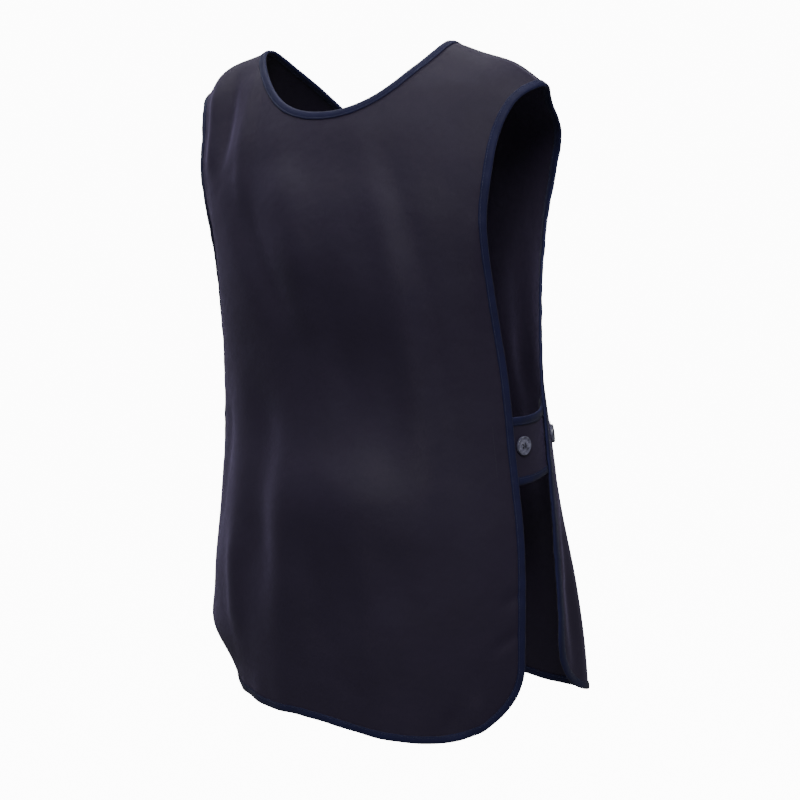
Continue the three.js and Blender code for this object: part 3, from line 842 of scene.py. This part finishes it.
def edit_faces(item, chosen):
    """Selects the faces that chosen says yes to, and stays in edit mode"""
    activate(item)
    for polygon in item.data.polygons:
        polygon.select = chosen(polygon)
    for part in [*item.data.edges, *item.data.vertices]:
        part.select = False
    for polygon in item.data.polygons:
        if polygon.select:
            for index in polygon.vertices:
                item.data.vertices[index].select = True
    bpy.ops.object.mode_set(mode="EDIT")
    bpy.context.tool_settings.mesh_select_mode = (False, False, True)


deselect_all()
bpy.ops.mesh.primitive_cylinder_add(vertices=64, radius=BUTTON_RADIUS, depth=BUTTON_THICKNESS,
                                    location=(0, 0, BUTTON_THICKNESS / 2))
bpy.ops.object.transform_apply(location=True)
button = bpy.context.object
button.name = "button"
edit_faces(button, lambda face: face.normal.z > 0.9)
bpy.ops.mesh.inset(thickness=RIM_WIDTH * 0.6)
bpy.ops.mesh.inset(thickness=RIM_WIDTH * 0.6)
bpy.ops.transform.translate(value=(0, 0, -BUTTON_DISH))
bpy.ops.mesh.inset(thickness=RIM_WIDTH * 0.3)
bpy.ops.object.mode_set(mode="OBJECT")
rounding = button.modifiers.new("rounding", "BEVEL")
rounding.width = ROUNDING
rounding.segments = 4
rounding.limit_method = "ANGLE"
rounding.angle_limit = math.radians(30)
apply_all(button)
print("button body:", len(button.data.polygons), "faces")

# %% Its holes
drills = []
reach = HOLE_SPACING / math.sqrt(2)
for quarter in range(4):
    angle = (quarter + 0.5) * math.pi / 2
    deselect_all()
    bpy.ops.mesh.primitive_cylinder_add(
        vertices=24, radius=HOLE_RADIUS, depth=4 * BUTTON_THICKNESS,
        location=(reach * math.cos(angle), reach * math.sin(angle), 0))
    drills.append(bpy.context.object)
for drill in drills:
    cut = button.modifiers.new("hole", "BOOLEAN")
    cut.operation = "DIFFERENCE"
    cut.solver = "EXACT"
    cut.object = drill
apply_all(button)
for drill in drills:
    bpy.data.objects.remove(drill)
activate(button)
bpy.ops.object.shade_smooth_by_angle(angle=math.radians(35))
print("button with holes:", len(button.data.polygons), "faces")

# %% [markdown]
# Thread holds a button through its holes. Two loops go down one hole and up the next, and a ring of a torus,
# drawn out in height, is just such a loop: its upper arch shows in the dish and the rest is hidden.

# %% Thread loops
THREAD_RADIUS = 0.00042
THREAD_SUNK = 0.0002

deselect_all()
loops = []
for side in (-1, 1):
    bpy.ops.mesh.primitive_torus_add(
        major_segments=32, minor_segments=8, major_radius=HOLE_SPACING / 2, minor_radius=THREAD_RADIUS,
        location=(0, side * HOLE_SPACING / 2, BUTTON_THICKNESS / 2 - THREAD_SUNK), rotation=(math.pi / 2, 0, 0))
    loops.append(bpy.context.object)
deselect_all()
for loop in loops:
    loop.select_set(True)
bpy.context.view_layer.objects.active = loops[0]
bpy.ops.object.join()
thread = bpy.context.object
thread.name = "button_thread"
bpy.ops.object.transform_apply(location=True, rotation=True)
thread.data.shade_smooth()
print("thread:", len(thread.data.polygons), "faces")

# %% [markdown]
# Each tab has a spare button beside the back panel, and one nearer its front end that is fastened through the
# front panel. The button lies flat at the origin, so one matrix turns it to face as the cloth does and lifts
# it onto the cloth. The mesh itself is moved, and the object stays at the origin.

# %% Buttons in their places
SPARE_BUTTON_OFFSET = 0.013
SPARE_BUTTON_RISE = 0.005
FRONT_BUTTON_OFFSET = 0.02


def seat(surface, place):
    """The turn and shift that lay something on a cloth surface, at one place"""
    across, along = np.array([place[0]]), np.array([place[1]])
    at, out = Vector(surface(across, along)[0]), Vector(facing(surface, across, along)[0])
    turn = Vector((0, 0, 1)).rotation_difference(out).to_matrix().to_4x4()
    return Matrix.Translation(at + out * (CLOTH / 2 + SEWN_GAP)) @ turn


def placed_copy(item, name, matrix):
    mesh = item.data.copy()
    mesh.transform(matrix)
    return new_piece(name, mesh)


buttons, threads, button_seats = {}, {}, {}
for name, tab in tabs.items():
    rise = tab.side * 2 * SPARE_BUTTON_RISE / TAB_HEIGHT
    spare = seat(tab, (rise, (TAB_UNDER_BACK + SPARE_BUTTON_OFFSET) / tab.length))
    rim = np.array([-float(tab.side)])
    over, _ = slopes(front_surface, rim, np.array([TAB_DROP / APRON_LENGTH]))
    place = -tab.side * (1 - FRONT_BUTTON_OFFSET / np.linalg.norm(over[0]))
    fastening = seat(front_surface, (place, TAB_DROP / APRON_LENGTH))
    for use, matrix in (("spare", spare), ("fastening", fastening)):
        key = f"{name}_{use}_button"
        button_seats[key] = matrix
        buttons[key] = placed_copy(button, f"{key}_turned", matrix)
        threads[key] = placed_copy(thread, f"{key}_thread", matrix)
        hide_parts(key)
bpy.data.objects.remove(button)
bpy.data.objects.remove(thread)
print("buttons:", sorted(buttons))

# %% [markdown]
# A buttonhole is a slit with satin stitches round it, a little longer than the button is wide, so its two ends
# show beside the button. A flattened ring, drawn out along the slit, has that shape. The sewn end of a tab
# shows on the back panel as one short row of stitches, pulled well into the cloth.

# %% Buttonholes and tab seams
BUTTONHOLE_LENGTH = 0.023
BUTTONHOLE_WIDTH = 0.0032
BUTTONHOLE_HEIGHT = 0.004
TAB_SEAM_POINTS = 40
TAB_SEAM_INSET = TAB_UNDER_BACK - TAB_SEAM_WIDTH / 2
TAB_SEAM_MARGIN = 0.008
TAB_SEAM_SUNK = 0.0001

deselect_all()
bpy.ops.mesh.primitive_torus_add(major_segments=64, minor_segments=10, major_radius=0.5, minor_radius=0.1)
buttonhole = bpy.context.object
bpy.ops.object.mode_set(mode="EDIT")
bpy.ops.mesh.select_all(action="SELECT")
bpy.ops.transform.resize(value=(BUTTONHOLE_LENGTH, BUTTONHOLE_WIDTH, BUTTONHOLE_HEIGHT))
bpy.ops.object.mode_set(mode="OBJECT")
buttonhole.data.shade_smooth()
buttonholes, tab_seams = {}, {}
for name, tab in tabs.items():
    buttonholes[name] = placed_copy(buttonhole, f"{name}_buttonhole", button_seats[f"{name}_fastening_button"])
    end = TAB_HEIGHT / 2 - TAB_SEAM_MARGIN
    along = (TAB_DROP + np.linspace(-end, end, TAB_SEAM_POINTS)) / APRON_LENGTH
    over, _ = slopes(back_surface, np.full_like(along, tab.side), along)
    across = tab.side * (1 - TAB_SEAM_INSET / np.linalg.norm(over, axis=-1))
    out = facing(back_surface, across, along)
    row = stitch_row(back_surface(across, along) + out * (CLOTH / 2 - TAB_SEAM_SUNK), out)
    tab_seams[name] = stitch_piece(f"{name}_tab_seam", [row])
bpy.data.objects.remove(buttonhole)
print("buttonholes and tab seams:", sorted(buttonholes))

# %% [markdown]
# ## Finishes
# Shader sums read like sums on numbers here: a small class wraps a socket, and an expression on it adds the
# Math nodes. The twill has fine slanting ribs, threads that differ a little in tone, and a soft bloom of
# raised fibre that catches light at a low angle. The tape is a smoother, bluer weave. The thread is twisted,
# and the buttons are cast with pale clouds.


# %% Shader sums
class Value:
    """A socket that takes part in sums"""

    def __init__(self, shader, socket):
        self.shader, self.socket = shader, socket

    def sum(self, operation, *others):
        return self.shader.node("ShaderNodeMath", {"operation": operation}, dict(enumerate((self, *others))))

    def __add__(self, other):
        return self.sum("ADD", other)

    __radd__ = __add__

    def __mul__(self, other):
        return self.sum("MULTIPLY", other)

    __rmul__ = __mul__

    def __sub__(self, other):
        return self.sum("SUBTRACT", other)

    def __rsub__(self, other):
        return self.shader.node("ShaderNodeMath", {"operation": "SUBTRACT"}, {0: other, 1: self})

    def sine(self):
        return self.sum("SINE")

    def limited(self):
        return self.sum("MINIMUM", 1.0).sum("MAXIMUM", 0.0)


class Finish:
    """A material, whose nodes are added by one method, node"""

    def __init__(self, name):
        self.material = bpy.data.materials.new(name)
        self.material.use_nodes = True
        self.tree = self.material.node_tree
        self.surface = self.tree.nodes["Principled BSDF"]

    def node(self, kind, settings=None, values=None, output=0):
        node = self.tree.nodes.new(kind)
        for key, value in (settings or {}).items():
            if key == "stops":
                self.set_stops(node.color_ramp, value)
            else:
                setattr(node, key, value)
        for key, value in (values or {}).items():
            self.connect(node.inputs[key], value)
        return Value(self, node.outputs[output])

    def connect(self, socket, value):
        if isinstance(value, Value):
            self.tree.links.new(value.socket, socket)
        else:
            socket.default_value = value

    def set_stops(self, ramp, stops):
        for _ in stops[2:]:
            ramp.elements.new(0.5)
        for element, (place, colour) in zip(ramp.elements, stops):
            element.position, element.color = place, (*colour, 1)

    def blend(self, share, first, second):
        """A colour between two, by a share"""
        values = {0: share, 6: rgba(first), 7: rgba(second)}
        return self.node("ShaderNodeMix", {"data_type": "RGBA"}, values, output=2)

    def parts(self, vector):
        """The first two parts of a vector"""
        first = self.node("ShaderNodeSeparateXYZ", None, {0: vector})
        return first, Value(self, first.socket.node.outputs[1])

    def noise(self, place, scale, detail=2.0, roughness=0.5):
        values = {"Vector": place, "Scale": scale, "Detail": detail, "Roughness": roughness}
        return self.node("ShaderNodeTexNoise", None, values)

    def bump(self, height, distance, strength=1.0, normal=None):
        values = {"Height": height, "Distance": distance, "Strength": strength}
        if normal is not None:
            values["Normal"] = normal
        return self.node("ShaderNodeBump", None, values)

    def set(self, **values):
        for key, value in values.items():
            self.connect(self.surface.inputs[key.replace("_", " ")], value)


def rgba(colour):
    return colour if isinstance(colour, Value) or len(colour) == 4 else (*colour, 1)


OBJECT_PLACE = 3  # the output of Texture Coordinate that gives object coordinates
print("shader sums are ready")

# %% [markdown]
# ### Twill
# The ribs run on the cloth's own flat coordinates, so they bend with the sheet. They are 0.9 mm apart. Slubs,
# which are thicker stretches of yarn, make short pale streaks down the cloth, and slow clouds of tone stand
# for the uneven dye and the shine of pressing.

# %% Twill cloth
RIB = 0.0009
RIB_SLANT = 0.8  # how far a rib runs across for each metre along
CROSS_RIB = 0.6 * RIB
SLUB_STRETCH = 0.12
CLOTH_DARK = (0.0114, 0.0074, 0.0192)
CLOTH_LIGHT = (0.0212, 0.0146, 0.0385)
BLOOM_TINT = (0.6, 0.5, 0.95)


def twill(name, dark, light):
    finish = Finish(name)
    place = finish.node("ShaderNodeUVMap", {"uv_map": "cloth"})
    across, along = finish.parts(place)
    yarn = finish.noise(place, 900.0, 1.0)
    ribs = ((across + along * RIB_SLANT + yarn * (RIB / 3)) * (2 * math.pi / RIB)).sine() * 0.5 + 0.5
    cross = (along * (2 * math.pi / CROSS_RIB)).sine() * 0.5 + 0.5
    stretched = finish.node("ShaderNodeMapping", None, {"Vector": place, "Scale": (1.0, SLUB_STRETCH, 1.0)})
    slubs = finish.noise(stretched, 1400.0, 2.0, 0.6)
    clouds = finish.noise(place, 14.0, 3.0, 0.55)
    tone = (ribs * 0.3 + slubs * 0.45 + clouds * 0.55 - 0.15).limited()
    rough = 0.6 + clouds * 0.12 - ribs * 0.05
    fine = finish.bump(ribs * 0.6 + cross * 0.25 + slubs * 0.4, 0.00018, 0.55)
    crumple = finish.noise(place, 38.0, 3.0, 0.5)
    normal = finish.bump(crumple, 0.0022, 0.35, fine)
    finish.set(Base_Color=finish.blend(tone, dark, light), Roughness=rough, Normal=normal)
    finish.set(Sheen_Weight=0.16, Sheen_Roughness=0.38, Sheen_Tint=rgba(BLOOM_TINT), Specular_IOR_Level=0.3)
    return finish.material


cloth_finish = twill("dark_navy_twill", CLOTH_DARK, CLOTH_LIGHT)
print("twill nodes:", len(cloth_finish.node_tree.nodes))

# %% [markdown]
# ### Tape
# The tape's flat coordinates run along it and once round its section, so the middle of the outer fold lies at
# one half. A painted highlight runs along the fold there in pale patches, and a fine plain weave covers the
# rest.

# %% Binding tape
TAPE_DARK = (0.0048, 0.0054, 0.0310)
TAPE_LIGHT = (0.0095, 0.0110, 0.0590)
# the colour of the painted highlight along the tape's outer fold
TAPE_FOLD_HIGHLIGHT = (0.0210, 0.0240, 0.0950)
WARP_ROUND_TAPE = 48
WEFT_PITCH = 0.0006
FOLD_HIGHLIGHT_NARROWNESS = 14.0


def tape_finish(name):
    finish = Finish(name)
    place = finish.node("ShaderNodeUVMap", {"uv_map": "cloth"})
    spot = finish.node("ShaderNodeTexCoord", output=OBJECT_PLACE)
    run, turn = finish.parts(place)
    warp = (turn * (2 * math.pi * WARP_ROUND_TAPE)).sine() * 0.5 + 0.5
    weft = (run * (2 * math.pi / WEFT_PITCH)).sine() * 0.5 + 0.5
    weave = warp * weft
    # mask of the painted highlight: a narrow stripe along the middle of the tape's outer fold
    fold = (1 - (turn - 0.5).sum("ABSOLUTE") * FOLD_HIGHLIGHT_NARROWNESS).limited()
    clouds = finish.noise(spot, 60.0, 3.0, 0.6)
    fine = finish.noise(spot, 900.0, 2.0, 0.6)
    tone = (clouds * 0.9 + weave * 0.25 + fine * 0.25 - 0.3).limited()
    colour = finish.blend(tone, TAPE_DARK, TAPE_LIGHT)
    # painted highlight: the outer fold is painted paler, in patches set by the noise
    colour = finish.blend((fold * clouds * fine * 2.2).limited(), colour, TAPE_FOLD_HIGHLIGHT)
    normal = finish.bump(weave + fine * 0.5, 0.00012, 0.5)
    finish.set(Base_Color=colour, Roughness=0.58 + fine * 0.16, Normal=normal)
    finish.set(Sheen_Weight=0.08, Sheen_Roughness=0.4, Specular_IOR_Level=0.25)
    return finish.material


binding_finish = tape_finish("blue_binding_tape")
print("tape nodes:", len(binding_finish.node_tree.nodes))

# %% [markdown]
# ### Thread and buttons
# Spun thread is a tight spiral with a dull shine. Cast buttons have slow pale clouds and dark veins, a clear
# gloss, and fine scratches that show only in the reflections.


# %% Thread
def thread_finish(name, dark, light):
    finish = Finish(name)
    spot = finish.node("ShaderNodeTexCoord", output=OBJECT_PLACE)
    twist = finish.node("ShaderNodeTexWave", {"bands_direction": "DIAGONAL"},
                        {"Vector": spot, "Scale": 900.0, "Distortion": 1.5, "Detail": 1.0})
    fibre = finish.noise(spot, 1800.0, 2.0)
    tone = (twist * 0.6 + fibre * 0.4).limited()
    finish.set(Base_Color=finish.blend(tone, dark, light), Roughness=0.5 + fibre * 0.2,
               Normal=finish.bump(twist, 0.0001, 0.5))
    finish.set(Sheen_Weight=0.2, Sheen_Roughness=0.4)
    return finish.material


blue_thread = thread_finish("blue_sewing_thread", (0.010, 0.013, 0.045), (0.024, 0.030, 0.085))
dark_thread = thread_finish("dark_button_thread", (0.010, 0.010, 0.018), (0.030, 0.030, 0.050))
print("threads:", blue_thread.name, dark_thread.name)


# %% Buttons
def button_finish(name):
    finish = Finish(name)
    spot = finish.node("ShaderNodeTexCoord", output=OBJECT_PLACE)
    clouds = finish.noise(spot, 240.0, 4.0, 0.6)
    veins = finish.noise(spot, 520.0, 5.0, 0.65)
    base = finish.node("ShaderNodeValToRGB", {"stops": [
        (0.28, (0.028, 0.029, 0.056)),
        (0.50, (0.100, 0.100, 0.155)),
        (0.74, (0.270, 0.270, 0.350)),
    ]}, {0: (clouds * 0.75 + veins * 0.35 - 0.05).limited()})
    scratches = finish.noise(spot, 3000.0, 2.0, 0.7)
    finish.set(Base_Color=base, Roughness=0.2 + scratches * 0.16,
               Normal=finish.bump(scratches, 0.00002, 0.4), Coat_Weight=0.35 + scratches * 0.15)
    finish.set(Coat_Roughness=0.12, IOR=1.52)
    return finish.material


marbled = button_finish("marbled_grey_button")
print("button nodes:", len(marbled.node_tree.nodes))


# %% [markdown]
# ### Floor and dome
# A pale floor under soft light comes out grey in the picture, so floor and dome glow until they read as the
# white paper of a studio. Faint clouds of tone keep them from being one flat colour.

# %% Pale floor
STAGE_GLOW = 12.0


def stage_finish(name):
    finish = Finish(name)
    spot = finish.node("ShaderNodeTexCoord", output=OBJECT_PLACE)
    tone = finish.noise(spot, 1.5, 2.0)
    colour = finish.blend(tone, (0.86, 0.86, 0.86), (0.9, 0.9, 0.9))
    finish.set(Base_Color=colour, Roughness=0.9 - tone * 0.1)
    finish.set(Emission_Color=(1, 1, 1, 1), Emission_Strength=STAGE_GLOW)
    return finish.material


floor.data.materials.append(stage_finish("pale_floor"))
backdrop.data.materials.append(stage_finish("pale_backdrop"))
print("stage glow:", STAGE_GLOW)


# %% Give every piece its finish
def finish_with(pieces, material):
    for piece in pieces:
        piece.data.materials.clear()
        piece.data.materials.append(material)


finish_with([*panels.values(), *tab_pieces.values(), *seams.values()], cloth_finish)
finish_with([edge_tape, neck_tape, *tab_tapes.values()], binding_finish)
finish_with([edge_stitches, neck_stitches, *tab_stitches.values()], blue_thread)
finish_with([*threads.values(), *buttonholes.values(), *tab_seams.values()], dark_thread)
finish_with(buttons.values(), marbled)
